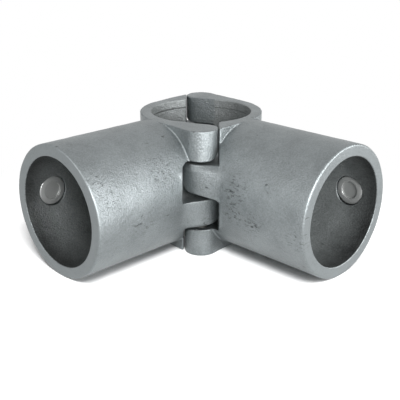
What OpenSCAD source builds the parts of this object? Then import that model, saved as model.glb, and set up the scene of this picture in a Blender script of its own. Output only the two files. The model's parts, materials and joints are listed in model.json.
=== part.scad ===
// Three-way clamp for round tube. Two like castings close round an upright post and hold two level
// rails at a corner. The origin is where the post axis meets the rail axes, +Z runs up the post and the
// corner of the rails opens towards -Y.

/* [Tubes] */
// Bore of the collar that closes round the post
post_bore_d = 48.9; // [44:0.1:52]
// Bore of each socket that takes a rail
rail_bore_d = 48.9; // [44:0.1:52]
// Angle between the two rails, seen from above
corner_angle = 90; // [86:1:110]

/* [Castings] */
// Thickness of the collar wall and of the socket walls
wall = 5.35; // [4:0.05:7]
// Distance from the post axis to the mouth of each socket
mouth_reach = 86.8; // [80:0.1:120]
// Metal between the bottom of a socket and the knuckle pocket beside it
pocket_web = 4; // [3:0.1:8]
// Width of the ledge that stops a rail at the bottom of its socket
stop_ledge = 4.4; // [3:0.1:6]
// Radius of the outer edge of each socket mouth
mouth_round = 1; // [0.2:0.1:2]
// Chamfer at the ends of the post bore and at the socket mouths
bore_chamfer = 0.4; // [0.1:0.1:1]

/* [Knuckles] */
// Distance from the post axis to the middle of each knuckle
eye_reach = 35; // [34:0.1:42]
// Radius of the round end of each knuckle
eye_r = 7.7; // [7.7:0.1:9.5]
// Height of each of the two knuckle levels next to mid height
inner_level_h = 14.5; // [11:0.1:16]
// Gap between one knuckle level and the next
level_gap = 1.1; // [0.6:0.1:2]
// Gap between a round knuckle end and the flat pocket wall beside it
end_gap = 0.25; // [0.2:0.05:1]
// Rounding of the inner corner of the top and bottom knuckles
outer_nose_round = 5; // [1:0.1:5.5]
// Rounding of both corners of the two knuckles next to mid height
inner_nose_round = 2; // [0.5:0.1:4]
// Rounding of the knuckle corners at the top and bottom faces
rim_round = 0.8; // [0.2:0.1:2]
// Fillet in the corners of each knuckle pocket
pocket_fillet = 2; // [0.5:0.1:2.5]

/* [Set screws] */
// Diameter of the set screws at mid thread
screw_d = 15.8; // [12:0.1:17]
// Length of the set screws
screw_l = 12; // [11:0.1:16]
// Diameter of the cup in the point
cup_d = 9.4; // [6:0.1:11]
// Depth of the cup
cup_depth = 1.2; // [0.5:0.1:2]
// Diameter of the low dome round the cup, where the thread starts
dome_d = 14; // [11.5:0.1:15]
// Height of the dome
dome_h = 0.35; // [0.1:0.05:1]
// Width across the flats of the key socket
key_af = 8; // [5:0.5:9]
// Depth of the key socket
key_depth = 6; // [3:0.1:7]
// Play all round the screws in their holes
screw_play = 0.05; // [0.02:0.01:0.1]
// How far the cup points stand inside the bores
point_show = 0.2; // [0.05:0.05:0.2]
// Distance from each socket mouth to its screw
rail_screw_inset = 14.8; // [14:0.1:20]
// Diameter of the boss round each screw
boss_d = 23; // [22:0.5:28]
// Height of the boss above the wall
boss_h = 5.5; // [3:0.1:8]
// Rounding of the outer edge of each boss
boss_round = 1.5; // [0.5:0.1:3]

/* [Hinge pin] */
// Diameter of the hinge pin
pin_d = 8; // [6:0.1:9]
// Play all round the pin in the casting that holds it
pin_seat_play = 0.02; // [0.01:0.01:0.05]
// Play all round the pin in the casting that swings on it
pin_swing_play = 0.06; // [0.03:0.01:0.1]
// Metal above the closed top of the pin hole
pin_cover = 5; // [3:0.1:8]
// How far the pin stays below the top of its hole
pin_end_gap = 0.5; // [0.2:0.1:1]
// How far the pin sits inside the bottom face
pin_sunk = 0.5; // [0.2:0.1:2]
// Chamfer at both ends of the pin
pin_chamfer = 0.8; // [0.3:0.1:1.5]

/* [Lock screw] */
// Diameter of the lock screw at its thread
lock_d = 8; // [6:0.1:9]
// Length of the lock screw, with its dog
lock_l = 12; // [11:0.1:13]
// Diameter of the dog
dog_d = 5.5; // [4:0.1:5.6]
// Length of the dog
dog_l = 4; // [3:0.1:5]
// How far the open lock screw's dog stays below the gap between the knuckles
lock_open = 0.4; // [0.3:0.1:0.6]
// Depth of the hole that takes the dog
dog_hole_depth = 6; // [5:0.1:8]
// Play all round the dog in its hole
dog_play = 0.1; // [0.05:0.01:0.1]
// Width across the flats of the lock screw's key socket
lock_key_af = 4; // [3:0.5:4]

/* [Hidden] */
$fn = 96;
// A length that passes every outline, for cutting tools
far = 200;
half_angle = corner_angle / 2;
post_r = post_bore_d / 2;
rail_r = rail_bore_d / 2;
collar_r = post_r + wall;
socket_r = rail_r + wall;
collar_h = 2 * socket_r;
// Flat walls of the knuckle pockets stand this far each side of the middle
pocket_x = eye_r + end_gap;
// The rail stops where its bore still leaves the web beside the pocket
stop_reach = (rail_r * cos(half_angle) + pocket_x + pocket_web) / sin(half_angle);
// Heights of the knuckle level boundaries above mid height
inner_low = level_gap / 2;
inner_top = inner_low + inner_level_h;
outer_low = inner_top + level_gap;
outer_top = collar_h / 2;
rail_screw_reach = mouth_reach - rail_screw_inset;
screw_hole_r = screw_d / 2 + screw_play;
countersink = 0.6;
galvanised = [0.62, 0.65, 0.65];
zinc_screw = [0.55, 0.55, 0.53];
bright_steel = [0.72, 0.72, 0.7];

// Lowest and highest point of a knuckle level, counted 1 to 4 from the top
function level(n) = n == 1 ? [outer_low, outer_top]
    : n == 2 ? [inner_low, inner_top]
    : n == 3 ? [-inner_top, -inner_low]
    : [-outer_top, -outer_low];

// The line that touches the collar's outside and a knuckle's outside has this normal
outer_normal = let (s = (collar_r - eye_r) / eye_reach) [sqrt(1 - s * s), s];
// The line that crosses between the bore and a knuckle's inside has this normal
inner_normal = let (s = (post_r + eye_r) / eye_reach) [sqrt(1 - s * s), s];

// Turns a shape made along +Z so that it runs along the left rail
module along_rail() {
    rotate([90, 0, -half_angle]) children();
}

// Turns a shape made along +Z so that it points out of the back of the left rail or collar
module behind(reach) {
    along_rail() translate([0, 0, reach]) rotate([0, -90, 0]) children();
}

// The right casting's pieces are the left casting's pieces turned over about the Y axis
module turned_over() {
    rotate([0, 180, 0]) children();
}

// Outline, seen from above, of one knuckle arm that comes from the left to the eye at the back
module arm_outline() {
    eye = [0, eye_reach];
    translate(eye) circle(r = eye_r);
    polygon([
        collar_r * [-outer_normal.x, outer_normal.y],
        eye + eye_r * [-outer_normal.x, outer_normal.y],
        eye,
        eye - eye_r * [-inner_normal.x, inner_normal.y],
        post_r * [-inner_normal.x, inner_normal.y]
    ]);
}

// Outline, seen from above, of the left half collar with both its arms
module half_collar_outline() {
    intersection() {
        circle(r = collar_r);
        translate([-far, -far / 2]) square([far - pocket_x, far]);
    }
    arm_outline();
    mirror([0, 1]) arm_outline();
}

// Upper half of a bar seen from the front, with a rounded top corner at its end
module bar_half(length, height, round) {
    translate([-far, 0]) {
        square([far + length - round, height]);
        square([far + length, height - round]);
    }
    translate([length - round, height - round]) circle(r = round);
}

// One knuckle level seen from the front, rounded at its end
module knuckle_bar(n) {
    low = level(n)[0];
    high = level(n)[1];
    half = (high - low) / 2;
    nose_round = n == 1 || n == 4 ? outer_nose_round : inner_nose_round;
    translate([0, low + half]) {
        bar_half(eye_r, half, n == 1 ? rim_round : nose_round);
        mirror([0, 1]) bar_half(eye_r, half, n == 4 ? rim_round : nose_round);
    }
}

// Fillet where a knuckle meets the flat pocket wall; up is 1 above the knuckle and -1 below it
module pocket_corner(z, up) {
    translate([-pocket_x, z]) scale([1, up]) difference() {
        translate([-1, -1]) square(pocket_fillet + 1);
        translate([pocket_fillet, pocket_fillet]) circle(r = pocket_fillet);
        translate([pocket_fillet, -2]) square([2, pocket_fillet + 2]);
        translate([-2, pocket_fillet]) square([pocket_fillet + 2, 2]);
    }
}

// What the left casting fills, seen from the front, at its front or its back
module side_profile(levels) {
    translate([-far, -outer_top]) square([far - pocket_x, collar_h]);
    for (n = levels) {
        knuckle_bar(n);
        if (n > 1) pocket_corner(level(n)[1], 1);
        if (n < 4) pocket_corner(level(n)[0], -1);
    }
}

// The profile of one side, run through everything in front of mid depth or behind it
module side_room(levels, front) {
    translate([0, front ? 0 : far, 0]) rotate([90, 0, 0]) linear_extrude(far) side_profile(levels);
}

// Outside of a rail socket, from the post axis to its rounded mouth
module socket_outside() {
    along_rail() rotate_extrude() {
        square([socket_r - mouth_round, mouth_reach]);
        square([socket_r, mouth_reach - mouth_round]);
        translate([socket_r - mouth_round, mouth_reach - mouth_round]) circle(r = mouth_round, $fn = 48);
    }
}

// Bore of a rail socket, its stop ledge and the tapered core behind it, which ends a wall short of the post bore
module socket_inside() {
    core_r = rail_r - stop_ledge;
    core_end_r = core_r - (stop_reach - collar_r) * tan(half_angle);
    along_rail() rotate_extrude() polygon([
        [0, collar_r],
        [core_end_r, collar_r],
        [core_r, stop_reach],
        [rail_r, stop_reach],
        [rail_r, mouth_reach - bore_chamfer],
        [rail_r + bore_chamfer, mouth_reach],
        [rail_r + bore_chamfer, mouth_reach + 1],
        [0, mouth_reach + 1]
    ]);
}

// Post bore with a chamfer at both ends
module post_bore() {
    rotate_extrude() polygon([
        [0, -outer_top - 1],
        [post_r + bore_chamfer, -outer_top - 1],
        [post_r + bore_chamfer, -outer_top],
        [post_r, -outer_top + bore_chamfer],
        [post_r, outer_top - bore_chamfer],
        [post_r + bore_chamfer, outer_top],
        [post_r + bore_chamfer, outer_top + 1],
        [0, outer_top + 1]
    ]);
}

// Boss round a set screw, from inside the wall to its rounded face
module boss(bore_r) {
    face = bore_r + wall + boss_h;
    rotate_extrude() {
        translate([0, bore_r]) square([boss_d / 2 - boss_round, face - bore_r]);
        translate([0, bore_r]) square([boss_d / 2, face - bore_r - boss_round]);
        translate([boss_d / 2 - boss_round, face - boss_round]) circle(r = boss_round, $fn = 48);
    }
}

// Hole for a set screw, countersunk at the face of its boss
module screw_hole(bore_r) {
    face = bore_r + wall + boss_h;
    rotate_extrude() polygon([
        [0, bore_r / 2],
        [screw_hole_r, bore_r / 2],
        [screw_hole_r, face - countersink],
        [screw_hole_r + countersink, face],
        [screw_hole_r + countersink, face + 1],
        [0, face + 1]
    ]);
}

// One casting as it comes from the foundry and the bench, in the left place, without its eye holes
module half_casting() {
    difference() {
        union() {
            intersection() {
                union() {
                    translate([0, 0, -outer_top]) linear_extrude(collar_h) half_collar_outline();
                    intersection() {
                        socket_outside();
                        translate([-far, -far, -far / 2]) cube([far, 2 * far, far]);
                    }
                }
                union() {
                    side_room([1, 3], true);
                    side_room([2, 4], false);
                }
            }
            behind(0) boss(post_r);
            behind(rail_screw_reach) boss(rail_r);
        }
        post_bore();
        socket_inside();
        behind(0) screw_hole(post_r);
        behind(rail_screw_reach) screw_hole(rail_r);
    }
}

// Straight hole up through the back eye, from below the clamp to the closed top
module pin_hole(play) {
    translate([0, eye_reach, -outer_top - 1]) cylinder(r = pin_d / 2 + play, h = collar_h + 1 - pin_cover);
}

// Blind hole in the underside of the left casting's third knuckle, which takes the dog
module dog_hole() {
    translate([0, -eye_reach, -inner_top - 1]) cylinder(r = dog_d / 2 + dog_play, h = dog_hole_depth + 1);
}

// Hole for the lock screw through the right casting's lowest knuckle
module lock_hole() {
    translate([0, -eye_reach, -outer_top - 1]) cylinder(r = lock_d / 2 + screw_play, h = outer_top - outer_low + 2);
}

module left_casting() {
    color(galvanised) difference() {
        half_casting();
        pin_hole(pin_seat_play);
        dog_hole();
    }
}

module right_casting() {
    color(galvanised) difference() {
        turned_over() half_casting();
        pin_hole(pin_swing_play);
        lock_hole();
    }
}

// Set screw along +Z with its cup point down at the given height
module set_screw(point) {
    r = screw_d / 2;
    cup_r = cup_d / 2;
    dome_r = dome_d / 2;
    edge = 0.7;
    translate([0, 0, point]) difference() {
        rotate_extrude() polygon([
            [0, cup_depth],
            [cup_r - cup_depth, cup_depth],
            [cup_r, 0],
            [cup_r + (dome_r - cup_r) / 3, 0],
            [dome_r, dome_h],
            [r, dome_h + r - dome_r],
            [r, screw_l - edge],
            [r - edge, screw_l],
            [0, screw_l]
        ]);
        translate([0, 0, screw_l - key_depth]) cylinder(r = key_af / 2 / cos(30), h = key_depth + 1, $fn = 6);
    }
}

module left_rail_screw() {
    color(zinc_screw) behind(rail_screw_reach) set_screw(rail_r - point_show);
}

module right_rail_screw() {
    turned_over() left_rail_screw();
}

module left_post_screw() {
    color(zinc_screw) behind(0) set_screw(post_r - point_show);
}

module right_post_screw() {
    turned_over() left_post_screw();
}

module hinge_pin() {
    length = collar_h - pin_sunk - pin_cover - pin_end_gap;
    r = pin_d / 2;
    color(bright_steel) translate([0, eye_reach, -outer_top + pin_sunk]) rotate_extrude() polygon([
        [0, 0],
        [r - pin_chamfer, 0],
        [r, pin_chamfer],
        [r, length - pin_chamfer],
        [r - pin_chamfer, length],
        [0, length]
    ]);
}

// Lock screw in its open place, with the dog just below the gap between the knuckles
module lock_screw() {
    r = lock_d / 2;
    edge = 0.6;
    color(zinc_screw) translate([0, -eye_reach, -outer_low - lock_open - lock_l]) difference() {
        rotate_extrude() polygon([
            [0, 0],
            [r - edge, 0],
            [r, edge],
            [r, lock_l - dog_l - edge],
            [r - edge, lock_l - dog_l],
            [dog_d / 2, lock_l - dog_l],
            [dog_d / 2, lock_l - edge],
            [dog_d / 2 - edge, lock_l],
            [0, lock_l]
        ]);
        translate([0, 0, -1]) cylinder(r = lock_key_af / 2 / cos(30), h = (lock_l - dog_l) / 2 + 1, $fn = 6);
    }
}

left_casting();
right_casting();
left_rail_screw();
right_rail_screw();
left_post_screw();
right_post_screw();
hinge_pin();
lock_screw();
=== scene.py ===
"""Dresses a three-way tube clamp: two galvanised castings that hinge round a post, their set
screws, the hinge pin and the lock screw, on a pale studio floor.

Lengths are in metres, as the frame has them. Each casting is meshed from a distance field, so its
fillets, rounded edges and cast unevenness are part of its shape.
"""

import json
import math

import bpy
import numpy as np
from mathutils import Matrix, Vector


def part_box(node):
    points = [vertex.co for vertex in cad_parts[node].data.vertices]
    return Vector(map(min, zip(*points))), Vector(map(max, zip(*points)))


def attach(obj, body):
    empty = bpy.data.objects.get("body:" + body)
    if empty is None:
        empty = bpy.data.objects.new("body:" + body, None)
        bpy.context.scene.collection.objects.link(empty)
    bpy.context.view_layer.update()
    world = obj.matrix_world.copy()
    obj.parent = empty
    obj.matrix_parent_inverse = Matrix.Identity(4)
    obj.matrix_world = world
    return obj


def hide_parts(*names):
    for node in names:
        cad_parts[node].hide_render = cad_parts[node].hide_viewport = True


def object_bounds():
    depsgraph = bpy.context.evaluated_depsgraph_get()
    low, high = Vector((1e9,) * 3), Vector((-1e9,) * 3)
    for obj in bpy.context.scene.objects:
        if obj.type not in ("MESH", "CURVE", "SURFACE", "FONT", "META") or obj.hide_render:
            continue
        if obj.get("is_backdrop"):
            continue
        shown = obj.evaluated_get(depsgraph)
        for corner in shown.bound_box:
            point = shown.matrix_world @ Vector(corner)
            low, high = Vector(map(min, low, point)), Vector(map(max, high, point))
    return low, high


bl_info = {
    "name": "Three-way tube clamp",
    "version": (1, 0, 0),
    "blender": (4, 5, 0),
    "location": "View3D > Sidebar > Clamp",
    "description": "Builds the castings, screws, pin and studio of a hinged tube clamp",
    "category": "Object",
}

MM = 0.001
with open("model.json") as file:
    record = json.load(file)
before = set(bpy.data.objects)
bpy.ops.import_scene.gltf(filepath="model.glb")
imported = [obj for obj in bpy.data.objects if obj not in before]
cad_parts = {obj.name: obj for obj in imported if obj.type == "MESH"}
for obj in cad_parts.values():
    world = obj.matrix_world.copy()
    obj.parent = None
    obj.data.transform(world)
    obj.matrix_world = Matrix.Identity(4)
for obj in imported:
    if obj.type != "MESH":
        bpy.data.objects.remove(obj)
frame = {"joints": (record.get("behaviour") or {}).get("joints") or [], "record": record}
CAD_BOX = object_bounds()
MOUNTS = {mount["name"]: mount for mount in frame["record"]["mounts"]}
JOINTS = {joint["name"]: joint for joint in frame["joints"]}
SET_SCREWS = ("left_rail_screw", "left_post_screw", "right_rail_screw", "right_post_screw")
POST_R = MOUNTS["post"]["dims"]["r_mm"] * MM
RAIL = MOUNTS["left_rail"]
RAIL_R = RAIL["dims"]["r_mm"] * MM
RAIL_AXIS = Vector(RAIL["axis"])
RAIL_END = Vector(RAIL["pos_m"]).length + RAIL["dims"]["length_mm"] * MM / 2
COLLAR_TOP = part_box("left_casting")[1].z
EYE_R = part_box("left_casting")[1].x
EYE_REACH = JOINTS["clamp_swing"]["pos_m"][1]
SCREW_REACH = (sum(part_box("left_rail_screw"), Vector()) / 2).dot(RAIL_AXIS)

# The gentle waves in the cast skin, whose mean depth keeps their crests within its full size.
WAVE_SEED = 7
WAVE_COUNT = 14
WAVELENGTHS = (5 * MM, 15 * MM)
WAVE_MEAN = 2.0

# Profile of a screw thread's groove across one pitch, cut off between 0 and 1.
GROOVE_PEAK = 1.25
GROOVE_SLOPE = 2.9
RINGS_PER_TURN = 8

# Points round each screw and pin, and the angle at each.
ROUND = 96
ANGLES = np.arange(ROUND) * 2 * math.pi / ROUND
SHARP_ANGLE = math.radians(40)
SENSOR_WIDTH = 36.0
WHITE = (1.0, 1.0, 1.0, 1.0)


def maker(kind, **settings):
    """A function that makes one kind of property, whose value a user may change."""
    def make(name, description, default):
        return kind(name=name, description=description, default=default, **settings)
    return make


value_of = maker(bpy.props.FloatProperty)
focal_length = maker(bpy.props.FloatProperty, subtype="DISTANCE_CAMERA")
length = maker(bpy.props.FloatProperty, min=0.0, precision=5, subtype="DISTANCE", unit="LENGTH")
share = maker(bpy.props.FloatProperty, min=0.0, max=1.0, subtype="FACTOR")
angle_of = maker(bpy.props.FloatProperty, subtype="ANGLE", unit="ROTATION")
power_of = maker(bpy.props.FloatProperty, min=0.0, subtype="POWER", unit="POWER")
place_of = maker(bpy.props.FloatVectorProperty, subtype="TRANSLATION", unit="LENGTH")
size_of = maker(bpy.props.FloatVectorProperty, min=0.0, size=2, unit="LENGTH")
tint = maker(bpy.props.FloatVectorProperty, min=0.0, max=1.0, subtype="COLOR")


class ClampCastingSizes(bpy.types.PropertyGroup):
    """Sizes of one casting."""

    post_r: length("Post bore radius", "Radius of the collar's bore", POST_R)
    rail_r: length("Rail bore radius", "Radius of the socket's bore", RAIL_R)
    wall: length("Wall", "Thickness of the collar and socket walls", COLLAR_TOP - RAIL_R)
    mouth_lip: length("Mouth lip", "From the end of a rail's seat to the socket's mouth", 0.4 * MM)
    mouth_round: length("Mouth edge", "Radius of the socket mouth's outer edge", 1.0 * MM)
    eye_reach: length("Eye reach", "From the post axis to the middle of a knuckle", EYE_REACH)
    eye_r: length("Eye radius", "Radius of a knuckle's round end", EYE_R)
    inner_level_h: length("Inner level height", "Height of an inner knuckle", 14.5 * MM)
    level_gap: length("Level gap", "Gap between two knuckle levels", 1.1 * MM)
    end_gap: length("End gap", "Gap between a knuckle's end and its pocket wall", 0.25 * MM)
    back_gap: length("Back gap", "The same gap at the back, by the hinge", 0.0)
    outer_nose_round: length("Outer nose rounding", "Corner of the outer front knuckles", 5.2 * MM)
    back_nose_round: length("Back nose rounding", "Corner of the outer back knuckles", 2.4 * MM)
    lower_nose_round: length("Lower nose rounding", "Lower corner of the inner knuckles", 3.2 * MM)
    upper_nose_round: length("Upper nose rounding", "Upper corner of the inner knuckles", 1.4 * MM)
    nose_lean: angle_of("Nose lean", "Lean of the outer knuckles' round ends", math.radians(6))
    underside_rise: angle_of("Underside rise", "Slope under the inner knuckles", math.radians(7))
    nose_room: length("Nose room", "Room past a knuckle's round end for its corners", 0.5 * MM)
    pocket_fillet: length("Pocket fillet", "Fillet in the upper corners of a pocket", 2.2 * MM)
    pocket_corner: length("Pocket corner", "Fillet in the lower corners of a pocket", 0.5 * MM)
    pocket_web: length("Pocket web", "Metal between a socket's bottom and the pocket", 4.0 * MM)
    stop_ledge: length("Stop ledge", "Width of the ledge that stops a rail", 4.4 * MM)
    screw_reach: length("Rail screw reach", "From the post axis to the screw", SCREW_REACH)
    screw_hole_r: length("Screw hole radius", "Radius of the holes for the set screws", 7.95 * MM)
    hole_lip_r: length("Hole lip radius", "Radius of a screw hole at the bore", 6.9 * MM)
    hole_lip: length("Hole lip", "Depth of that narrower rim of the hole", 0.9 * MM)
    boss_r: length("Boss radius", "Radius of the boss round a set screw", 11.5 * MM)
    boss_h: length("Boss height", "Height of a boss above the wall", 5.5 * MM)
    boss_round: length("Boss edge", "Radius of a boss's outer edge", 1.5 * MM)
    boss_fillet: length("Boss fillet", "Fillet where a boss meets the wall", 2.5 * MM)
    pin_hole_r: length("Pin hole radius", "Radius of the hole for the hinge pin", 4.05 * MM)
    pin_cover: length("Pin cover", "Metal above the closed end of the pin hole", 5.0 * MM)
    lock_hole_r: length("Lock screw hole", "Radius of the lock screw's hole", 4.05 * MM)
    dog_hole_r: length("Dog hole", "Radius of the hole that takes the lock screw's dog", 2.85 * MM)
    dog_hole_depth: length("Dog hole depth", "Depth of the dog's hole", 6.0 * MM)
    rim_round: length("Rim edge", "Radius of the collar's top and bottom edges", 0.3 * MM)
    knuckle_edge: length("Knuckle edge", "Radius of the edges round the knuckles", 0.4 * MM)
    rim_edge: length("Upright edge", "Radius of the pockets' edges near the rims", 1.3 * MM)
    bore_edge: length("Bore edge", "Radius of the edges of bores and holes", 0.35 * MM)
    crease_round: length("Crease fillet", "Fillet where a socket meets the collar", 0.55 * MM)
    knuckle_blend: length("Knuckle blend", "Fillet from a socket to the inner knuckles", 10.0 * MM)
    relief: length("Bore relief", "Depth of the shallow relief inside the collar", 0.12 * MM)
    relief_land: length("Relief land", "Height left unrelieved at both ends of the bore", 4.3 * MM)
    unevenness: length("Unevenness", "Height of the cast skin's gentle waves", 0.035 * MM)
    mesh_step: length("Mesh step", "Grid step at which the casting is meshed", 0.5 * MM)
    kept_faces: share("Kept faces", "Share of the mesh's faces that is kept", 0.3)


class ClampScrewSizes(bpy.types.PropertyGroup):
    """Sizes of the screws and the pin."""

    screw_r: length("Set screw radius", "Outer radius of the set screws", 7.9 * MM)
    screw_l: length("Set screw length", "Length of the set screws", 12.0 * MM)
    screw_pitch: length("Set screw pitch", "Pitch of the set screw thread", 1.337 * MM)
    thread_depth: length("Thread depth", "Depth of the set screw thread", 0.7 * MM)
    cup_r: length("Cup radius", "Radius of the cup in a set screw's point", 4.3 * MM)
    lip_round: length("Lip rounding", "Radius of the cup's edge", 0.3 * MM)
    cup_depth: length("Cup depth", "Depth of that cup", 0.9 * MM)
    tip_r: length("Tip radius", "Radius of the plain tip round the cup", 6.7 * MM)
    tip_h: length("Tip height", "Height of that tip", 2.7 * MM)
    dome_h: length("Dome height", "How much the tip's face falls towards its edge", 0.3 * MM)
    key_af: length("Key size", "Width across the flats of the key socket", 8.0 * MM)
    key_depth: length("Key depth", "Depth of the key socket", 6.0 * MM)
    lock_r: length("Lock screw radius", "Outer radius of the lock screw", 4.0 * MM)
    lock_l: length("Lock screw length", "Length of the lock screw with its dog", 12.0 * MM)
    lock_pitch: length("Lock screw pitch", "Pitch of the lock screw thread", 1.25 * MM)
    dog_r: length("Dog radius", "Radius of the lock screw's dog", 2.75 * MM)
    dog_l: length("Dog length", "Length of the lock screw's dog", 4.0 * MM)
    lock_key_af: length("Lock screw key size", "Width across its key socket's flats", 4.0 * MM)
    pin_round: length("Pin rounding", "Radius of the edge at both ends of the hinge pin", 0.8 * MM)


class ClampFinish(bpy.types.PropertyGroup):
    """Colours and surface of the metals."""

    zinc: tint("Zinc skin", "Colour of the galvanised castings", (0.236, 0.258, 0.264))
    zinc_dark: tint("Zinc hollows", "Colour of pits and hollows in the skin", (0.045, 0.05, 0.05))
    # Colour of the painted shade inside the sockets.
    socket_painted_shade: tint("Socket inside", "Colour inside the sockets", (0.14, 0.15, 0.15))
    bore_light: tint("Collar inside", "Colour inside the collar", (0.235, 0.25, 0.25))
    screw: tint("Screws", "Colour of the set screws", (0.385, 0.395, 0.39))
    pin: tint("Pin", "Colour of the hinge pin", (0.5, 0.5, 0.48))
    zinc_roughness: share("Zinc roughness", "Roughness of the zinc skin", 0.42)


class ClampStage(bpy.types.PropertyGroup):
    """Camera, lamps and floor."""

    camera_place: place_of(
        "Camera place", "Where the camera stands", (0.0, -338.4 * MM, 111.4 * MM)
    )
    camera_pitch: angle_of("Camera pitch", "How far it looks down", math.radians(20.866))
    camera_lens: focal_length("Lens", "Focal length in millimetres on a 36 mm sensor", 63.37)
    camera_shift: value_of("Camera shift", "Sideways shift of the picture", -0.00245)
    floor_size: length("Floor size", "Width of the square floor", 6.0)
    shadow_reach: length("Shadow reach", "Past this distance the floor is plain white", 0.18)
    world_strength: share("World strength", "Strength of the even light from all round", 0.35)
    paper_gain: share("Paper gain", "How bright the lit paper is to the camera", 1.0)
    paper_bounce: share("Paper bounce", "Share of its light that the paper throws back", 0.74)
    mirrored_white: share("Mirrored white", "How white the floor is in reflections", 0.7)
    mirrored_shade: share("Mirrored shade", "Share of that white left under the clamp", 0.2)
    mirrored_world: share("Mirrored world", "Strength of the even light in reflections", 0.86)


# Place, width and height, power, and the collection that alone is lit, if there is one.
LAMPS = {
    "key_lamp": ((0.08, -0.72, 0.70), (0.30, 0.30), 14.0, "studio_paper"),
    "front_lamp": ((0.285, -0.785, 0.34), (0.42, 0.42), 9.5, "clamp_metal"),
    "left_fill": ((-0.62, -0.40, 0.35), (0.45, 0.45), 1.5, "clamp_metal"),
    "right_softbox": ((0.76, -0.25, 0.14), (0.90, 0.34), 6.0, None),
}


def lamp_properties():
    """The name and property of each lamp's place, size and power."""
    for name, (place, size, power, _) in LAMPS.items():
        label = name.replace("_", " ").capitalize()
        yield f"{name}_place", place_of(f"{label} place", "Where the lamp stands", place)
        yield f"{name}_size", size_of(f"{label} size", "Its width and height", size)
        yield f"{name}_power", power_of(f"{label} power", "Power of the lamp", power)


ClampStage.__annotations__.update(lamp_properties())


def joined(first, second, radius):
    """Distance to what either of two shapes holds, with a fillet where they meet."""
    corner = np.hypot(np.maximum(radius - first, 0.0), np.maximum(radius - second, 0.0))
    return np.maximum(radius, np.minimum(first, second)) - corner


def common(first, second, radius):
    """Distance to what both of two shapes hold, with a rounded edge where they meet."""
    return -joined(-first, -second, radius)


def eased(way):
    """A smooth step from 0 to 1."""
    way = np.clip(way, 0.0, 1.0)
    return way * way * (3 - 2 * way)


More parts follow.
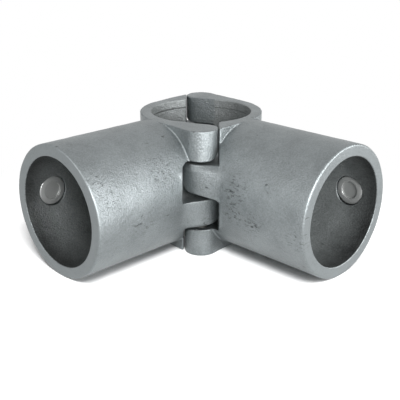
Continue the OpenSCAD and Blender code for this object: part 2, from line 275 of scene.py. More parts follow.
class CastingField:
    """Signed distance to one casting in the left place, negative in the metal."""

    # Where the deep blend between socket and knuckles stops, fades and sets in.
    blend_over, blend_fade, blend_run = 1 * MM, 5 * MM, 8 * MM
    # Where the upright edges start to grow rounder, and over which height.
    rim_start, rim_fade = 4 * MM, 3 * MM
    # Height of the step between the bore's relief and its lands.
    relief_slope = 0.3 * MM

    def __init__(self, sizes, turned):
        self.s = sizes
        self.turned = turned
        self.collar_r = sizes.post_r + sizes.wall
        self.socket_r = sizes.rail_r + sizes.wall
        self.top = self.socket_r
        self.axis = RAIL_AXIS
        self.mouth = RAIL_END + sizes.mouth_lip
        self.pocket_x = sizes.eye_r + sizes.end_gap
        self.inner_low = sizes.level_gap / 2
        self.inner_top = self.inner_low + sizes.inner_level_h
        self.outer_low = self.inner_top + sizes.level_gap
        side, ahead = -self.axis.x, -self.axis.y
        web_x = self.pocket_x + sizes.pocket_web
        self.stop = (sizes.rail_r * ahead + web_x) / side
        self.waves = self.draw_waves()

    def draw_waves(self):
        """Wave vectors and phases of the gentle waves in the cast skin."""
        rng = np.random.default_rng(WAVE_SEED)
        along = rng.normal(size=(WAVE_COUNT, 3))
        along /= np.linalg.norm(along, axis=1)[:, None]
        wavelength = rng.uniform(*WAVELENGTHS, WAVE_COUNT)
        phase = rng.uniform(0, 2 * math.pi, WAVE_COUNT)
        return along * (2 * math.pi / wavelength)[:, None], phase

    def wave_depth(self, x, y, z):
        """How deep the cast skin lies below the casting's full size."""
        directions, phases = self.waves
        total = 0.0
        for (kx, ky, kz), phase in zip(directions, phases):
            total = total + np.sin(kx * x + ky * y + kz * z + phase)
        return np.maximum(total / math.sqrt(WAVE_COUNT) + WAVE_MEAN, 0.0) * self.s.unevenness

    def outline(self, x, y, z):
        """The half collar with both arms, seen from above."""
        s = self.s
        near_nose = eased((abs(y) - s.post_r) / (s.eye_reach - s.post_r))
        out = abs(y) + math.tan(s.nose_lean) * np.maximum(abs(z) - self.outer_low, 0.0) * near_nose
        beyond = out - s.eye_reach
        eye = np.hypot(x, beyond) - s.eye_r
        slope = (s.post_r + s.eye_r) / s.eye_reach
        run = math.sqrt(1 - slope * slope)
        arm = np.maximum(s.post_r - slope * out + run * x, slope * x + run * beyond)
        half = np.minimum(np.minimum(eye, arm), self.pocket_wall(x, y))
        return np.maximum(self.egg(x, out), half)

    def pocket_wall(self, x, y):
        """Distance to the pocket walls, which stand closer to the noses at the back."""
        return x + np.where(y < 0, self.pocket_x, self.s.eye_r + self.s.back_gap)

    def egg(self, x, out):
        """Distance to the collar and knuckle circles, wrapped together by straight tangents."""
        s = self.s
        slope = (self.collar_r - s.eye_r) / s.eye_reach
        run = math.sqrt(1 - slope * slope)
        side = abs(x)
        along = run * out - slope * side
        collar = np.hypot(side, out) - self.collar_r
        eye = np.hypot(side, out - s.eye_reach) - s.eye_r
        tangent = run * side + slope * out - self.collar_r
        return np.where(along < 0, collar, np.where(along > run * s.eye_reach, eye, tangent))

    def knuckle(self, x, z, low, high, low_round, high_round):
        """One knuckle level seen from the front."""
        end = x - self.s.eye_r - self.s.nose_room
        if high < self.outer_low and low > -self.outer_low:
            rise = math.tan(self.s.underside_rise) * np.maximum(x + self.pocket_x, 0.0)
            low, high = (low, high - rise) if self.turned else (low + rise, high)
        lower = common(end, low - z, low_round)
        upper = common(end, z - high, high_round)
        return np.where(z < (low + high) / 2, lower, upper)

    def standing_out(self, wall, x, z, low, high, low_round, high_round):
        """A pocket wall with one knuckle, whose fillets below it and above it differ."""
        s = self.s
        bar = self.knuckle(x, z, low, high, low_round, high_round)
        below, above = s.pocket_fillet, s.pocket_corner
        if self.turned:
            below, above = above, below
        return np.where(z < (low + high) / 2, joined(wall, bar, below), joined(wall, bar, above))

    def levels(self, x, y, z):
        """The pocket walls with the knuckles that stand out of them, seen from the front."""
        s = self.s
        far = 2 * self.top
        under, over = s.lower_nose_round, s.upper_nose_round
        if self.turned:
            under, over = over, under
        wall = self.pocket_wall(x, y)
        outer = s.outer_nose_round
        high = self.standing_out(wall, x, z, self.outer_low, far, outer, outer)
        low = self.standing_out(wall, x, z, -self.inner_top, -self.inner_low, under, over)
        front = np.where(z > 0, high, low)
        high = self.standing_out(wall, x, z, self.inner_low, self.inner_top, under, over)
        outer = s.back_nose_round
        low = self.standing_out(wall, x, z, -far, -self.outer_low, outer, outer)
        back = np.where(z > 0, high, low)
        return np.where(y < 0, front, back)

    def rail_place(self, x, y):
        """How far a point lies along the rail and how far to its front side."""
        return self.axis.x * x + self.axis.y * y, -self.axis.y * x + self.axis.x * y

    def with_boss(self, metal, along, across, z, reach, bore_r):
        """Adds the boss of the set screw that stands at reach."""
        s = self.s
        side = np.hypot(along - reach, z) - s.boss_r
        face = -across - (bore_r + s.wall + s.boss_h)
        boss = np.maximum(common(side, face, s.boss_round), across + bore_r + s.wall / 2)
        return joined(metal, boss, s.boss_fillet)

    def socket_room(self, along, off_axis):
        """The socket's bore with the tapered core behind its stop ledge."""
        s = self.s
        slope = -self.axis.x / -self.axis.y
        bore = np.maximum(off_axis - s.rail_r, self.stop - along)
        core_r = s.rail_r - s.stop_ledge - (self.stop - along) * slope
        core = (off_axis - core_r) / math.hypot(1, slope)
        core = np.maximum(core, self.collar_r - along)
        core = np.maximum(core, along - self.stop - s.bore_edge)
        return np.minimum(bore, core)

    def eye_holes(self, x, y, z):
        """The pin's hole at the back and the lock screw's or its dog's hole at the front."""
        s = self.s
        up = -z if self.turned else z
        back = np.hypot(x, y - s.eye_reach)
        front = np.hypot(x, y + s.eye_reach)
        pin = np.maximum(back - s.pin_hole_r, up - self.top + s.pin_cover)
        if self.turned:
            lock = np.maximum(front - s.lock_hole_r, up + self.inner_top)
        else:
            lock = np.maximum(front - s.dog_hole_r, up + self.inner_top - s.dog_hole_depth)
        return np.minimum(pin, lock)

    def screw_hole(self, along, across, z, bore_r, into_wall):
        """A set screw's hole, which narrows to a rim where it enters the bore."""
        s = self.s
        off_screw = np.hypot(along, z)
        wide = np.maximum(off_screw - s.screw_hole_r, s.hole_lip - into_wall)
        return np.maximum(np.minimum(wide, off_screw - s.hole_lip_r), across + bore_r / 2)

    def body(self, x, y, z, along, across, off_axis):
        """The casting with its bosses and waves, before its bores and holes."""
        s = self.s
        collar = common(self.outline(x, y, z), abs(z) - self.top, s.rim_round)
        socket = common(off_axis - self.socket_r, along - self.mouth, s.mouth_round)
        socket = np.maximum(socket, np.maximum(-along, x - s.eye_r))
        inner = eased((self.outer_low + self.blend_over - abs(z)) / self.blend_fade)
        front = eased((-y - s.eye_reach + self.blend_run) / self.blend_run)
        blend = s.crease_round + (s.knuckle_blend - s.crease_round) * (inner * front)
        metal = np.maximum(joined(collar, socket, blend), abs(z) - self.top)
        near_rim = eased((abs(z) - self.outer_low - self.rim_start) / self.rim_fade) * (y < 0)
        edge = s.knuckle_edge + (s.rim_edge - s.knuckle_edge) * near_rim
        metal = common(metal, self.levels(x, y, z), edge)
        metal = self.with_boss(metal, along, across, z, 0.0, s.post_r)
        metal = self.with_boss(metal, along, across, z, s.screw_reach, s.rail_r)
        return metal + self.wave_depth(x, y, z)

    def __call__(self, x, y, z):
        """Distance to the finished casting."""
        s = self.s
        along, across = self.rail_place(x, y)
        off_axis = np.hypot(across, z)
        metal = self.body(x, y, z, along, across, off_axis)
        land = np.clip((self.top - s.relief_land - abs(z)) / self.relief_slope, 0.0, 1.0)
        into_post, into_rail = np.hypot(x, y) - s.post_r, off_axis - s.rail_r
        rooms = (
            into_post - s.relief * land,
            self.socket_room(along, off_axis),
            self.screw_hole(along, across, z, s.post_r, into_post),
            self.screw_hole(along - s.screw_reach, across, z, s.rail_r, into_rail),
            self.eye_holes(x, y, z),
        )
        for room in rooms:
            metal = common(metal, -room, s.bore_edge)
        return metal

    def box(self):
        """A box round the casting with a little room to spare."""
        s = self.s
        room = 1.5 * MM
        end = self.axis * self.mouth
        side = Vector((self.axis.y, self.axis.x, 0)) * self.socket_r
        low_y = -max(abs(end.y) + abs(side.y), s.eye_reach + s.eye_r) - room
        boss_face = s.rail_r + s.wall + s.boss_h
        boss_x = (s.screw_reach + s.boss_r) * self.axis.x + boss_face * self.axis.y
        low_x = min(end.x - abs(side.x), boss_x) - room
        high = (s.eye_r + room, s.eye_reach + s.eye_r + room, self.top + room)
        return (low_x, low_y, -self.top - room), high


def slope_of(field, points):
    """Gradient of a field at points, by central differences."""
    step = 0.02 * MM
    slope = np.empty_like(points)
    for axis in range(3):
        ahead, behind = points.copy(), points.copy()
        ahead[:, axis] += step
        behind[:, axis] -= step
        slope[:, axis] = (field(*ahead.T) - field(*behind.T)) / (2 * step)
    return slope


def settle(field, points):
    """Moves points onto the field's surface and returns them with the surface's normals."""
    rounds, least_steepness, longest_move = 2, 0.2, 0.3 * MM
    for _ in range(rounds):
        slope = slope_of(field, points)
        steepness = np.maximum((slope * slope).sum(1), least_steepness)
        move = np.clip(field(*points.T) / steepness, -longest_move, longest_move)
        points = points - slope * move[:, None]
    slope = slope_of(field, points)
    return points, slope / np.linalg.norm(slope, axis=1)[:, None]


def surface_net(field, low, high, step):
    """Points and quads of a field's surface, one point in each grid cell that it crosses."""
    low = np.array(low)
    xs, ys, zs = (np.arange(a, b + step, step) for a, b in zip(low, high))
    flat_x, flat_y = np.meshgrid(xs, ys, indexing="ij")
    grid = np.stack([field(flat_x, flat_y, np.full_like(flat_x, z)) for z in zs], axis=2)
    inside = grid < 0
    corners = list(np.ndindex(2, 2, 2))
    counts = np.zeros((len(xs) - 1, len(ys) - 1, len(zs) - 1), np.int8)
    for i, j, k in corners:
        counts += inside[i:i + len(xs) - 1, j:j + len(ys) - 1, k:k + len(zs) - 1]
    cells = np.argwhere((counts > 0) & (counts < 8))
    number = np.full(counts.shape, -1, np.int64)
    number[tuple(cells.T)] = np.arange(len(cells))
    total = np.zeros((len(cells), 3))
    hits = np.zeros(len(cells))
    for axis in range(3):
        for corner in (c for c in corners if c[axis] == 0):
            start = cells + corner
            end = start.copy()
            end[:, axis] += 1
            first, last = grid[tuple(start.T)], grid[tuple(end.T)]
            crosses = (first < 0) != (last < 0)
            place = np.tile(np.array(corner, float), (len(cells), 1))
            place[crosses, axis] = first[crosses] / (first[crosses] - last[crosses])
            total[crosses] += place[crosses]
            hits[crosses] += 1
    points = low + (cells + total / hits[:, None]) * step
    return points, np.concatenate([net_faces(inside, number, axis) for axis in range(3)])


def net_faces(inside, number, axis):
    """The quads round every grid edge along one axis that the surface crosses."""
    second, third = (axis + 1) % 3, (axis + 2) % 3
    rolled = np.moveaxis(inside, (axis, second, third), (0, 1, 2))
    cells = np.moveaxis(number, (axis, second, third), (0, 1, 2))
    edges = np.argwhere(rolled[:-1, 1:-1, 1:-1] != rolled[1:, 1:-1, 1:-1]) + (0, 1, 1)
    i, j, k = edges.T
    around = [cells[i, j - 1, k - 1], cells[i, j, k - 1], cells[i, j, k], cells[i, j - 1, k]]
    quads = np.stack(around, axis=1)
    leaves = rolled[i, j, k]
    quads[~leaves] = quads[~leaves][:, ::-1]
    return quads


def mesh_from(name, points, faces):
    """A mesh of points and quads given as arrays."""
    mesh = bpy.data.meshes.new(name)
    mesh.from_pydata(points.tolist(), [], faces.tolist())
    mesh.update()
    return mesh


def thinned(mesh, share_kept):
    """The mesh with fewer faces where it is flat or evenly curved."""
    holder = bpy.data.objects.new(mesh.name + "_full", mesh)
    bpy.context.scene.collection.objects.link(holder)
    thin = holder.modifiers.new("thin", "DECIMATE")
    thin.ratio = share_kept
    graph = bpy.context.evaluated_depsgraph_get()
    result = bpy.data.meshes.new_from_object(holder.evaluated_get(graph))
    bpy.data.objects.remove(holder)
    bpy.data.meshes.remove(mesh)
    return result


def point_array(mesh):
    """A mesh's points as an array."""
    points = np.empty(len(mesh.vertices) * 3)
    mesh.vertices.foreach_get("co", points)
    return points.reshape(-1, 3)


def give_points(mesh, points, normals):
    """Sets a mesh's points and its smooth normals."""
    mesh.vertices.foreach_set("co", points.ravel())
    mesh.polygons.foreach_set("use_smooth", np.ones(len(mesh.polygons), bool))
    mesh.update()
    mesh.normals_split_custom_set_from_vertices(normals.tolist())


def give_attribute(mesh, name, values):
    """Stores one number per point for the materials."""
    layer = mesh.attributes.new(name, "FLOAT", "POINT")
    layer.data.foreach_set("value", values.astype(np.float32))


def bulge(field, points):
    """How the surface bends at each point: -1 in a sharp hollow, 0 on a flat, 1 on an edge."""
    reach = 0.35 * MM
    total = -6 * field(*points.T)
    for axis in range(3):
        for way in (-reach, reach):
            moved = points.copy()
            moved[:, axis] += way
            total = total + field(*moved.T)
    return np.clip(total / reach, -1.0, 1.0)


def surface_marks(field, points):
    """Numbers per point for the zinc material, with the casting in the left place."""
    s = field.s
    x, y, z = points.T
    along, across = field.rail_place(x, y)
    off_axis = np.hypot(across, z)
    past_collar = along > field.collar_r - 1 * MM
    before_mouth = along < field.mouth - 0.3 * MM
    in_post = np.hypot(x, y) < s.post_r + 0.3 * MM
    mouth_reach = 24 * MM
    bend = bulge(field, points)
    # Edges are drawn lighter as worn zinc and as painted highlight: the mouth's edge from its
    # slightest bend on, other edges only where they are sharp.
    sharp = np.where(along > field.mouth - 2 * MM, 1.25 * bend, 1.6 * bend - 0.5)
    rim = field.top - 1 * MM
    rim_shine = np.where((abs(z) > rim) & ~in_post, 0.15, 1.0)
    below_rim = eased((rim - abs(z)) / (2 * MM))
    return {
        "in_socket": (off_axis < s.rail_r + 0.1 * MM) & past_collar & before_mouth,
        "in_post": in_post,
        "mouth_depth": np.clip((field.mouth - along) / mouth_reach, 0.0, 1.0),
        "sharp_edge": np.clip(sharp, 0, 1) * rim_shine,
        # Sharp hollows, which the zinc material draws lighter as a painted highlight.
        "crease": np.clip(-1.5 * bend - 0.5, 0, 1) * below_rim * ~in_post,
    }


def casting_mesh(name, sizes, turned):
    field = CastingField(sizes, turned)
    low, high = field.box()
    coarser, fuller = ((1, 1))
    points, faces = surface_net(field, low, high, sizes.mesh_step * coarser)
    points, _ = settle(field, points)
    mesh = thinned(mesh_from(name, points, faces), sizes.kept_faces * fuller)
    points, normals = settle(field, point_array(mesh))
    marks = surface_marks(field, points)
    if turned:
        points *= (-1, 1, -1)
        normals *= (-1, 1, -1)
    give_points(mesh, points, normals)
    for mark, values in marks.items():
        give_attribute(mesh, mark, values)
    return mesh


def add_piece(name, mesh, body, slot, *nodes):
    """Puts a piece into the scene, on its body and in place of its CAD nodes."""
    piece = bpy.data.objects.new(name, mesh)
    bpy.context.scene.collection.objects.link(piece)
    bpy.data.collections["clamp_metal"].objects.link(piece)
    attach(piece, body)
    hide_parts(*nodes)


def skin_rings(name, rings, matrix):
    """A closed mesh through rings of points, each given as (radii, height) round the Z axis."""
    out_x, out_y = np.cos(ANGLES), np.sin(ANGLES)
    points = [np.stack([r * out_x, r * out_y, np.full(ROUND, z)], 1) for r, z in rings]
    faces = []
    last = (len(rings) - 1) * ROUND
    for a in range(0, last, ROUND):
        b = a + ROUND
        for i in range(ROUND):
            j = (i + 1) % ROUND
            faces.append((a + i, a + j, b + j, b + i))
    faces.append(tuple(reversed(range(ROUND))))
    faces.append(tuple(last + i for i in range(ROUND)))
    mesh = bpy.data.meshes.new(name)
    mesh.from_pydata(np.concatenate(points).tolist(), [], faces)
    mesh.transform(matrix)
    mesh.update()
    mesh.polygons.foreach_set("use_smooth", np.ones(len(mesh.polygons), bool))
    mesh.set_sharp_from_angle(angle=SHARP_ANGLE)
    return mesh


def circle(radius):
    """Distances from the centre to a circle."""
    return np.full(ROUND, radius)


def hexagon(across_flats):
    """Distances from the centre to a hexagon's sides."""
    return across_flats / 2 / np.cos((ANGLES + math.pi / 6) % (math.pi / 3) - math.pi / 6)


def thread_rings(radius, depth, pitch, low, high):
    """Rings of a screw thread between two heights, running out at both ends."""
    angle = np.arange(ROUND) / ROUND
    rings = []
    steps = round((high - low) / (pitch / RINGS_PER_TURN))
    for i in range(steps + 1):
        z = low + (high - low) * i / steps
        turn = (z / pitch - angle) % 1
        groove = np.clip(GROOVE_PEAK - np.abs(turn - 0.5) * GROOVE_SLOPE, 0.0, 1.0)
        run_out = min(1.0, (z - low) / pitch, (high - z) / pitch)
        rings.append((radius - depth * groove * max(run_out, 0.0), z))
    return rings


def key_socket_rings(af, depth, top):
    """Rings from a flat end at height top down into a hexagonal key socket."""
    edge, fall, cone_h = 0.35 * MM, 0.05 * MM, 0.5 * MM
    hexed = hexagon(af)
    return [
        (circle(hexed.max() + edge), top),
        (np.minimum(hexed + edge, hexed.max() + edge), top - fall),
        (hexed, top - edge),
        (hexed, top - depth),
        (hexed * 0.15, top - depth - cone_h),
    ]


def set_screw_mesh(name, s, matrix):
    """A set screw with its cup point at height 0 and its key socket at the top."""
    r, top = s.screw_r, s.screw_l
    cup, tip, lip = s.cup_r, s.tip_r, s.lip_round
    lip_steps, face_steps, tip_edge = 5, 6, 0.2 * MM
    head_edge, head_h = 0.6 * MM, 0.7 * MM
    start = s.tip_h + r - tip
    point = [
        (circle(cup * 0.1), s.cup_depth),
        (circle(cup - lip), s.cup_depth),
        (circle(cup - lip), lip),
    ]
    for i in range(1, lip_steps + 1):
        turn = i / lip_steps * math.pi / 2
        point.append((circle(cup - lip * math.cos(turn)), lip * (1 - math.sin(turn))))
    for i in range(1, face_steps + 1):
        out = i / face_steps
        point.append((circle(cup + (tip - tip_edge - cup) * out), s.dome_h * out ** 2))
    point += [(circle(tip), s.dome_h + tip_edge), (circle(tip), s.tip_h)]
    body = thread_rings(r, s.thread_depth, s.screw_pitch, start, top - head_h)
    head = [(circle(r - head_edge), top), *key_socket_rings(s.key_af, s.key_depth, top)]
    return skin_rings(name, point + body + head, matrix)


def lock_screw_mesh(name, s, matrix):
    """A dog-point screw with its key socket at height 0 and its dog at the top."""
    r, edge, thread_depth = s.lock_r, 0.5 * MM, 0.55 * MM
    thread_top = s.lock_l - s.dog_l
    key_depth = s.lock_l / 3
    key = [(ring, -z) for ring, z in key_socket_rings(s.lock_key_af, key_depth, 0.0)]
    head = [(circle(r - edge), 0.0)]
    body = thread_rings(r, thread_depth, s.lock_pitch, edge, thread_top - edge)
    dog = [
        (circle(s.dog_r), thread_top),
        (circle(s.dog_r), s.lock_l - edge),
        (circle(s.dog_r - edge), s.lock_l),
        (circle(s.dog_r * 0.1), s.lock_l),
    ]
    return skin_rings(name, key[::-1] + head + body + dog, matrix)


def pin_mesh(name, radius, height, end_round, matrix):
    """A plain pin with rounded ends, standing on height 0."""
    steps = 4
    rings = [(circle(radius * 0.1), 0.0)]
    for i in range(steps + 1):
        turn = i / steps * math.pi / 2
        ring = circle(radius - end_round * (1 - math.sin(turn)))
        rings.append((ring, end_round * (1 - math.cos(turn))))
    upper = [(ring, height - z) for ring, z in reversed(rings)]
    return skin_rings(name, rings + upper, matrix)


class Wire:
    """A socket of a material's node that sums and products can be written with."""

    def __init__(self, net, socket):
        self.net = net
        self.socket = socket

    def math(self, operation, *values):
        """The output of a math node."""
        return self.net.add("ShaderNodeMath", dict(enumerate(values)), operation=operation)

    def __add__(self, other):
        return self.math("ADD", self, other)

    def __sub__(self, other):
        return self.math("SUBTRACT", self, other)

    def __rsub__(self, other):
        return self.math("SUBTRACT", other, self)

    def __mul__(self, other):
        return self.math("MULTIPLY", self, other)

    def __abs__(self):
        return self.math("ABSOLUTE", self)

    __radd__ = __add__

    def larger(self, other):
        """The larger of two numbers."""
        return self.math("MAXIMUM", self, other)


class Net:
    """The nodes of one material or world."""

    def __init__(self, owner):
        owner.use_nodes = True
        self.owner = owner
        self.tree = owner.node_tree
        self.tree.nodes.clear()

    def add(self, kind, sockets=None, output=0, **settings):
        """Adds a node, makes its settings, fills or links its sockets and returns one output."""
        node = self.tree.nodes.new(kind)
        for key, value in settings.items():
            if key == "stops":
                self.set_stops(node.color_ramp, value)
            else:
                setattr(node, key, value)
        for key, value in (sockets or {}).items():
            if isinstance(value, Wire):
                self.tree.links.new(value.socket, node.inputs[key])
            else:
                node.inputs[key].default_value = value
        return Wire(self, node.outputs[output]) if len(node.outputs) else None

    def set_stops(self, ramp, stops):
        """Gives a ramp its (place, value) stops."""
        while len(ramp.elements) < len(stops):
            ramp.elements.new(0.5)
        for element, (place, value) in zip(ramp.elements, stops):
            element.position = place
            element.color = (value, value, value, 1)

    def blend(self, mask, first, second):
        """A colour between two, by a mask."""
        return self.add("ShaderNodeMix", {0: mask, 6: first, 7: second}, 2, data_type="RGBA")

    def ramp(self, value, *stops):
        """A number read off a curve of (place, value) stops."""
        return self.add("ShaderNodeValToRGB", {0: value}, stops=stops)

    def noise(self, place, scale, detail, roughness):
        """A noise number at each place."""
        sockets = {"Vector": place, "Scale": scale, "Detail": detail, "Roughness": roughness}
        return self.add("ShaderNodeTexNoise", sockets)

    def place(self):
        """Where a point lies on its own piece."""
        return self.add("ShaderNodeTexCoord", None, "Object")

    def ray(self, fact):
        """One fact about the ray that meets the surface."""
        return self.add("ShaderNodeLightPath", None, fact)

    def distance(self, first, second):
        """How far two places lie apart."""
        places = {0: first, 1: second}
        return self.add("ShaderNodeVectorMath", places, "Value", operation="DISTANCE")

    def remap(self, value, start, end, low=0.0, high=1.0, kind="LINEAR"):
        """A number brought from one range into another."""
        sockets = {"Value": value, "From Min": start, "From Max": end}
        sockets |= {"To Min": low, "To Max": high}
        return self.add("ShaderNodeMapRange", sockets, interpolation_type=kind)

    def bump(self, height, strength, depth):
        """A normal bent by a height."""
        sockets = {"Strength": strength, "Distance": depth, "Height": height}
        return self.add("ShaderNodeBump", sockets)

    def mix(self, mask, first, second):
        """A surface between two, by a mask."""
        return self.add("ShaderNodeMixShader", {0: mask, 1: first, 2: second})

    def metal(self, colour, metallic, roughness, normal):
        """A metal's surface."""
        sockets = {"Base Color": colour, "Metallic": metallic, "Roughness": roughness}
        return self.add("ShaderNodeBsdfPrincipled", {**sockets, "Normal": normal})

    def attribute(self, name):
        """A number that a mesh stores for each of its points."""
        return self.add("ShaderNodeAttribute", None, "Fac", attribute_name=name)

    def finish(self, surface, kind="ShaderNodeOutputMaterial"):
        """Shows a surface and returns the material or world."""
        self.add(kind, {"Surface": surface})
        return self.owner


def tone(colour, gain=1.0):
    """A colour made lighter or darker, with its alpha."""
    return (*(min(part * gain, 1.0) for part in colour), 1.0)


# Middle and reach in millimetres of each patch of clustered pits in the skin.
PIT_PATCHES = (
    ((14.4, -54.7, 8.5), 10.0),
    ((14.0, -56.1, -2.0), 9.0),
    ((21.9, -63.3, -5.5), 8.0),
    ((38.4, -79.9, -5.4), 7.0),
    ((-17.3, -52.5, 16.4), 9.0),
    ((-41.1, -74.5, 18.2), 6.0),
    ((-24.5, -66.4, -3.3), 8.0),
    ((-36.2, -75.4, 10.9), 7.0),
    # This patch, on the front of the lower inner knuckle, adds pits there and also darkens that
    # knuckle as painted shade.
    ((1.5, -42.5, -12.0), 5.0),
)


def pit_mask(net, place):
    """Where the skin is pitted: clustered specks in patches, and a few lone pits."""
    stretch = (0.4, 0.4, 1.0)
    drawn = net.add("ShaderNodeVectorMath", {0: place, 1: stretch}, operation="MULTIPLY")
    specks = net.ramp(net.noise(drawn, 1000, 4, 0.7), (0.53, 0), (0.635, 1))
    lone = net.ramp(net.noise(drawn, 520, 2, 0.5), (0.72, 0), (0.76, 0.8))
    clusters = net.noise(place, 60, 2, 0.5) * 0.4 - 0.1
    for middle, reach in PIT_PATCHES:
        away = net.distance(place, [part * MM for part in middle])
        clusters = clusters.larger(net.remap(away, reach * MM, reach * MM / 4))
    return (clusters * specks).larger(lone)


def zinc_material(finish, relief_line):
    """Hot-dip galvanised cast iron: soft grain, faint patches, clustered pits and worn edges, with
    painted shade inside the sockets and painted highlights on the edges and in the creases.

    The line round the collar's bore stands at the height relief_line above and below mid height.
    """
    net = Net(bpy.data.materials.new("zinc_skin"))
    place = net.place()
    patches = net.noise(place, 90, 3, 0.55)
    swell = net.noise(place, 330, 2, 0.5)
    grain = net.noise(place, 1300, 3, 0.6)
    fine = net.noise(place, 2600, 2, 0.6)
    sparks = net.ramp(fine, (0.46, 0), (0.58, 1))
    pits = pit_mask(net, place)
    in_socket = net.attribute("in_socket")
    in_post = net.attribute("in_post")
    edge = net.attribute("sharp_edge")
    crease = net.attribute("crease")
    mouth_depth = net.attribute("mouth_depth")
    mottle = patches * 0.35 + grain * 0.45 + fine * 0.2
    depth = net.ramp(mottle, (0.36, 0), (0.64, 1))
    cast = net.blend(depth, tone(finish.zinc, 0.8), tone(finish.zinc, 1.22))
    on_face = net.ramp(mouth_depth, (0.005, 0.7), (0.02, 0))
    plain = net.blend(on_face, cast, tone(finish.zinc, 0.92))
    # Painted shade inside the sockets: a shaded and a lit copy of one colour, darkest near the
    # mouth and lighter deeper in.
    mouth_painted_shade = net.blend(depth, tone(finish.socket_painted_shade, 0.15), tone(finish.socket_painted_shade, 0.5))
    lit = net.blend(depth, tone(finish.socket_painted_shade, 1.1), tone(finish.socket_painted_shade, 2.1))
    deep = net.blend(net.ramp(mouth_depth, (0.12, 0), (0.75, 1)), mouth_painted_shade, lit)
    bore = net.blend(depth, tone(finish.bore_light, 0.75), tone(finish.bore_light, 1.3))
    inside = net.blend(in_post, net.blend(in_socket, plain, deep), bore)
    height = net.add("ShaderNodeSeparateXYZ", {0: place}, "Z")
    off_line = abs(abs(height) - relief_line) * (1 / MM)
    line = net.ramp(off_line, (0.15, 0.45), (0.45, 0)) * in_post
    pitted = net.blend(pits * 0.85, inside, tone(finish.zinc_dark))
    lined = net.blend(line, pitted, tone(finish.zinc_dark))
    # Painted highlight: sharp hollows and creases are drawn lighter.
    crease_painted_highlight = net.blend(crease * 0.5, lined, tone(finish.zinc, 1.8))
    # Edges drawn lighter, with bright specks: partly worn zinc, partly painted highlight.
    rubbed_and_highlit_edges = net.blend(edge * (0.45 + sparks * 0.55), crease_painted_highlight, tone(finish.zinc, 3.2))
    off_face = net.ramp(mouth_depth, (0.01, 0.3), (0.06, 1))
    bumps = (swell * 0.45 + grain * 0.8 + fine * 0.2 + (1 - pits) * 0.15 - 0.85) * off_face
    metallic = 0.9 - in_socket * 0.4 - in_post * 0.2
    roughness = grain * 0.16 + (finish.zinc_roughness - 0.08)
    return net.finish(net.metal(rubbed_and_highlit_edges, metallic, roughness, net.bump(bumps, 1.0, 0.3 * MM)))


def steel_material(name, colour, roughness, metallic):
    """Plated or ground steel with fine marks."""
    net = Net(bpy.data.materials.new(name))
    place = net.place()
    marks = net.noise(place, 1400, 3, 0.6)
    patches = net.noise(place, 260, 2, 0.5)
    shade = net.blend(patches * 0.5 + marks * 0.3, tone(colour, 0.82), tone(colour, 1.2))
    uneven = marks * 0.15 + (roughness - 0.07)
    return net.finish(net.metal(shade, metallic, uneven, net.bump(marks, 0.15, 0.05 * MM)))


def outward_matrix(node, joint, depth):
    """Stands a screw's point on the inner end of its CAD node, with its Z axis out of the wall."""
    out = -Vector(JOINTS[joint]["axis"])
    middle = sum(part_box(node), Vector()) / 2
    turn = out.to_track_quat("Z", "X").to_matrix().to_4x4()
    return Matrix.Translation(middle - out * depth / 2) @ turn


def standing_matrix(node):
    """Stands a piece on the middle of its CAD node's lower end."""
    low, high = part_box(node)
    middle = (low + high) / 2
    return Matrix.Translation((middle.x, middle.y, low.z))


class CLAMP_OT_castings(bpy.types.Operator):
    """Make the two castings"""

    bl_idname = "clamp.castings"
    bl_label = "Castings"

    def execute(self, context):
        sizes = context.scene.clamp_casting_sizes
        relief_line = sizes.rail_r + sizes.wall - sizes.relief_land
        skin = zinc_material(context.scene.clamp_finish, relief_line)
        for side in ("left", "right"):
            name = f"{side}_casting_skin"
            mesh = casting_mesh(name, sizes, side == "right")
            mesh.materials.append(skin)
            add_piece(name, mesh, f"{side}_half", "galvanised_iron", f"{side}_casting")
        return {"FINISHED"}


class CLAMP_OT_set_screws(bpy.types.Operator):
    """Make the four set screws"""

    bl_idname = "clamp.set_screws"
    bl_label = "Set screws"

    def execute(self, context):
        sizes = context.scene.clamp_screw_sizes
        colour = context.scene.clamp_finish.screw
        steel = steel_material("screw_steel", colour, roughness=0.34, metallic=0.5)
        for node in SET_SCREWS:
            matrix = outward_matrix(node, f"{node}_travel", sizes.screw_l)
            mesh = set_screw_mesh(f"{node}_thread", sizes, matrix)
            mesh.materials.append(steel)
            add_piece(f"{node}_thread", mesh, node, "screw_steel", node)
        return {"FINISHED"}


class CLAMP_OT_pin_and_lock(bpy.types.Operator):
    """Make the hinge pin and the lock screw"""

    bl_idname = "clamp.pin_and_lock"
    bl_label = "Hinge pin and lock screw"

    def execute(self, context):
        sizes = context.scene.clamp_screw_sizes
        colour = context.scene.clamp_finish.pin
        low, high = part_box("hinge_pin")
        radius, height = (high.x - low.x) / 2, high.z - low.z
        place = standing_matrix("hinge_pin")
        mesh = pin_mesh("hinge_pin_ground", radius, height, sizes.pin_round, place)
        mesh.materials.append(steel_material("pin_steel", colour, roughness=0.3, metallic=1.0))
        add_piece("hinge_pin_ground", mesh, "left_half", "pin_steel", "hinge_pin")
        mesh = lock_screw_mesh("lock_screw_thread", sizes, standing_matrix("lock_screw"))
        mesh.materials.append(bpy.data.materials["screw_steel"])
        add_piece("lock_screw_thread", mesh, "lock_screw", "screw_steel", "lock_screw")
        return {"FINISHED"}


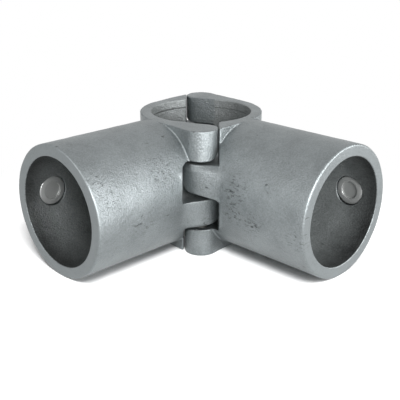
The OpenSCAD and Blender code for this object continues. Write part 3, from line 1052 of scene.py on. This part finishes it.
def floor_material(stage):
    """White paper that keeps the clamp's shadow near it and is plain white farther out."""
    net = Net(bpy.data.materials.new("studio_floor"))
    under_clamp = (0.0, -SCREW_REACH * 0.7, CAD_BOX[0].z)
    away = net.distance(net.place(), under_clamp)
    seen = net.ray("Is Camera Ray")
    bounces = net.ray("Diffuse Depth")
    direct = bounces.math("LESS_THAN", bounces, 0.5)
    shade_end, fade_start, fade_end = (stage.shadow_reach * part for part in (0.3, 0.65, 1.0))
    far = net.remap(away, fade_start, fade_end, kind="SMOOTHSTEP")
    white = stage.mirrored_white
    shaded = net.remap(away, shade_end, fade_start, white * stage.mirrored_shade, white)
    paper, bright = (
        net.add("ShaderNodeBsdfDiffuse", {"Color": (level, level, level, 1.0)})
        for level in (stage.paper_bounce, stage.paper_gain)
    )
    glow = net.add("ShaderNodeEmission", {"Color": WHITE, "Strength": 1.0})
    whitened = far * seen + net.ray("Is Glossy Ray") * direct * shaded
    return net.finish(net.mix(whitened, net.mix(seen, paper, bright), glow))


def add_lamp(name, place, size, power, only):
    """A soft lamp that looks at the clamp, and lights only one collection if that is given."""
    lamp = bpy.data.lights.new(name, "AREA")
    lamp.shape = "RECTANGLE"
    lamp.size, lamp.size_y = size
    lamp.energy = power
    holder = bpy.data.objects.new(name, lamp)
    holder.location = place
    holder.rotation_euler = (-Vector(place)).to_track_quat("-Z", "Y").to_euler()
    holder.visible_camera = False
    holder.light_linking.receiver_collection = only
    bpy.context.scene.collection.objects.link(holder)


def white_world(stage):
    """A world that is white to the camera, a little dimmer in reflections and soft as a light."""
    world = bpy.data.worlds.new("studio_world")
    bpy.context.scene.world = world
    net = Net(world)
    white, reflected, plain = (
        net.add("ShaderNodeBackground", {"Color": WHITE, "Strength": strength})
        for strength in (1.0, stage.mirrored_world, stage.world_strength)
    )
    light = net.mix(net.ray("Is Glossy Ray"), plain, reflected)
    net.finish(net.mix(net.ray("Is Camera Ray"), light, white), "ShaderNodeOutputWorld")


def add_floor(stage):
    """The square of paper under the clamp."""
    half = stage.floor_size / 2
    ground = CAD_BOX[0].z
    square = ((-1, -1), (1, -1), (1, 1), (-1, 1))
    mesh = bpy.data.meshes.new("studio_floor")
    mesh.from_pydata([(x * half, y * half, ground) for x, y in square], [], [(0, 1, 2, 3)])
    mesh.materials.append(floor_material(stage))
    floor = bpy.data.objects.new("studio_floor", mesh)
    bpy.context.scene.collection.objects.link(floor)
    floor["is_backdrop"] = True
    return floor


def add_camera(stage):
    """A camera that sees the clamp as the photograph does."""
    camera = bpy.data.cameras.new("photo_camera")
    camera.lens = stage.camera_lens
    camera.sensor_width = SENSOR_WIDTH
    camera.shift_x = stage.camera_shift
    holder = bpy.data.objects.new("photo_camera", camera)
    holder.location = stage.camera_place
    holder.rotation_euler = (math.pi / 2 - stage.camera_pitch, 0, 0)
    bpy.context.scene.collection.objects.link(holder)
    bpy.context.scene.camera = holder


class CLAMP_OT_stage(bpy.types.Operator):
    """Make the floor, the lamps and the camera"""

    bl_idname = "clamp.stage"
    bl_label = "Stage"

    def execute(self, context):
        stage = context.scene.clamp_stage
        floor = add_floor(stage)
        white_world(stage)
        paper = bpy.data.collections.new("studio_paper")
        paper.objects.link(floor)
        for name, (_, _, _, lit) in LAMPS.items():
            lamp = (getattr(stage, f"{name}_{part}") for part in ("place", "size", "power"))
            add_lamp(name, *lamp, bpy.data.collections[lit] if lit else None)
        add_camera(stage)
        context.scene.view_settings.view_transform = "Standard"
        return {"FINISHED"}


class CLAMP_PT_panel(bpy.types.Panel):
    """Lists the clamp's operators and sizes"""

    bl_idname = "CLAMP_PT_panel"
    bl_label = "Tube clamp"
    bl_space_type = "VIEW_3D"
    bl_region_type = "UI"
    bl_category = "Clamp"

    def draw(self, context):
        for operator in OPERATORS:
            self.layout.operator(operator.bl_idname)
        for name in GROUPS:
            box = self.layout.box()
            group = getattr(context.scene, name)
            for key in group.bl_rna.properties.keys():
                if key not in ("rna_type", "name"):
                    box.prop(group, key)


GROUPS = {
    "clamp_casting_sizes": ClampCastingSizes,
    "clamp_screw_sizes": ClampScrewSizes,
    "clamp_finish": ClampFinish,
    "clamp_stage": ClampStage,
}
OPERATORS = (CLAMP_OT_castings, CLAMP_OT_set_screws, CLAMP_OT_pin_and_lock, CLAMP_OT_stage)


def register():
    for cls in (*GROUPS.values(), *OPERATORS, CLAMP_PT_panel):
        bpy.utils.register_class(cls)
    for name, cls in GROUPS.items():
        setattr(bpy.types.Scene, name, bpy.props.PointerProperty(type=cls))


def unregister():
    for name in GROUPS:
        delattr(bpy.types.Scene, name)
    for cls in (CLAMP_PT_panel, *reversed(OPERATORS), *GROUPS.values()):
        bpy.utils.unregister_class(cls)


def main():
    """Builds the clamp and its stage."""
    register()
    bpy.data.collections.new("clamp_metal")
    bpy.ops.clamp.castings()
    bpy.ops.clamp.set_screws()
    bpy.ops.clamp.pin_and_lock()
    bpy.ops.clamp.stage()
    boxes = {"cad": CAD_BOX, "visual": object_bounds()}
    {name: [list(corner) for corner in box] for name, box in boxes.items()}


if __name__ == "__main__":
    main()
